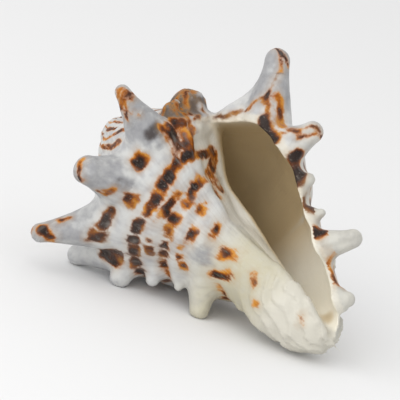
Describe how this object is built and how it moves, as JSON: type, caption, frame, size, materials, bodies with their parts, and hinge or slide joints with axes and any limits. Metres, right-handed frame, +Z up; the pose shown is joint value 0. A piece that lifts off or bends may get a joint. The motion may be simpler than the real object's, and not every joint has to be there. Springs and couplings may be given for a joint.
{
  "type": "vase shell",
  "caption": "Heavy spiny sea-snail shell with a low spire, knobbed spiral cords, long shoulder spines and a wide open mouth, resting on the worn tips of its spines.",
  "frame": {"origin": "centre of the bounding box on the surface that the shell rests on", "axes": "+Z up from that surface, -Y to the front where the mouth opens, +X to the end with the canal"},
  "size_m": [0.0674, 0.0516, 0.0567],
  "materials": {
    "shell": "smooth, slightly glossy natural shell, white to cream with dark brown spiral bands and brown spine edges"
  },
  "bodies": {
    "root": {"shell": "shell"}
  },
  "joints": []
}
